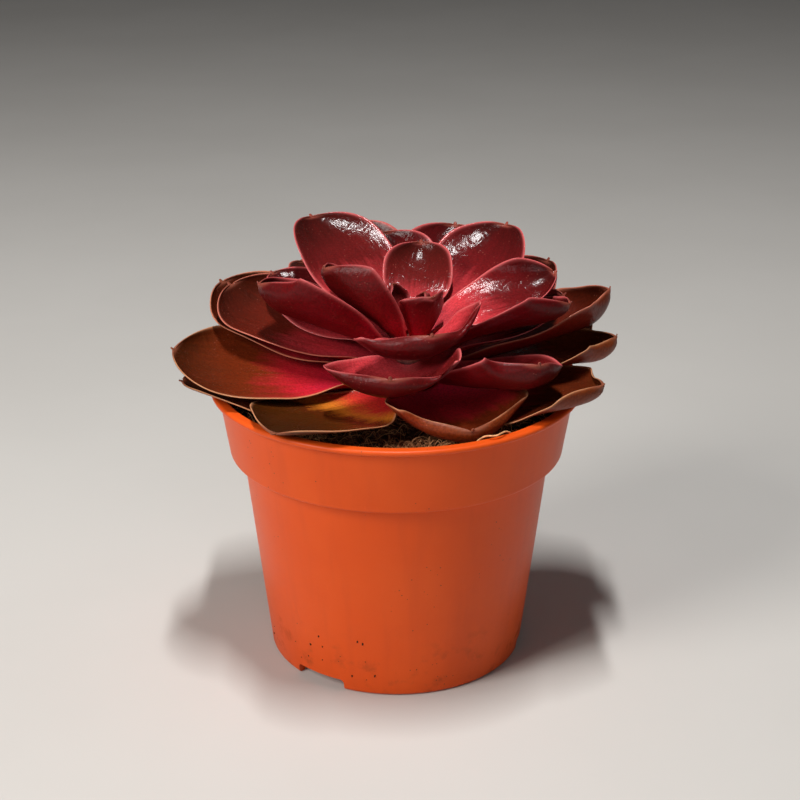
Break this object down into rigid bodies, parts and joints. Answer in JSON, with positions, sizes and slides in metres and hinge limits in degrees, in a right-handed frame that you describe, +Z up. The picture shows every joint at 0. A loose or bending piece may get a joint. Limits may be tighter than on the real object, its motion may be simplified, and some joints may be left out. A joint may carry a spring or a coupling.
{
  "type": "potted succulent",
  "caption": "Dark red rosette succulent with spoon-shaped pointed leaves on a short stem, growing in a round terracotta-coloured plastic nursery pot.",
  "frame": {"origin": "on the pot's axis, level with the bottom of its foot ring", "axes": "+Z up the pot's axis, +X to the right and +Y to the back as the plant is seen from its open front"},
  "size_m": [0.1415, 0.1213, 0.1369],
  "materials": {
    "pot_plastic": "satin",
    "compost": "matte",
    "stem_bark": "matte",
    "leaf_skin": "satin"
  },
  "bodies": {
    "root": {"pot": "pot_plastic", "potting_soil": "compost", "stem": "stem_bark", "leaf_01": "leaf_skin", "leaf_02": "leaf_skin", "leaf_03": "leaf_skin", "leaf_04": "leaf_skin", "leaf_05": "leaf_skin", "leaf_06": "leaf_skin", "leaf_07": "leaf_skin", "leaf_08": "leaf_skin", "leaf_09": "leaf_skin", "leaf_10": "leaf_skin", "leaf_11": "leaf_skin", "leaf_12": "leaf_skin", "leaf_13": "leaf_skin", "leaf_14": "leaf_skin", "leaf_15": "leaf_skin", "leaf_16": "leaf_skin", "leaf_17": "leaf_skin", "leaf_18": "leaf_skin", "leaf_19": "leaf_skin", "leaf_20": "leaf_skin", "leaf_21": "leaf_skin", "leaf_22": "leaf_skin", "leaf_23": "leaf_skin", "leaf_24": "leaf_skin", "leaf_25": "leaf_skin", "leaf_26": "leaf_skin", "leaf_27": "leaf_skin", "leaf_28": "leaf_skin", "leaf_29": "leaf_skin", "leaf_30": "leaf_skin", "leaf_31": "leaf_skin", "leaf_32": "leaf_skin", "leaf_33": "leaf_skin", "leaf_34": "leaf_skin"}
  },
  "joints": []
}
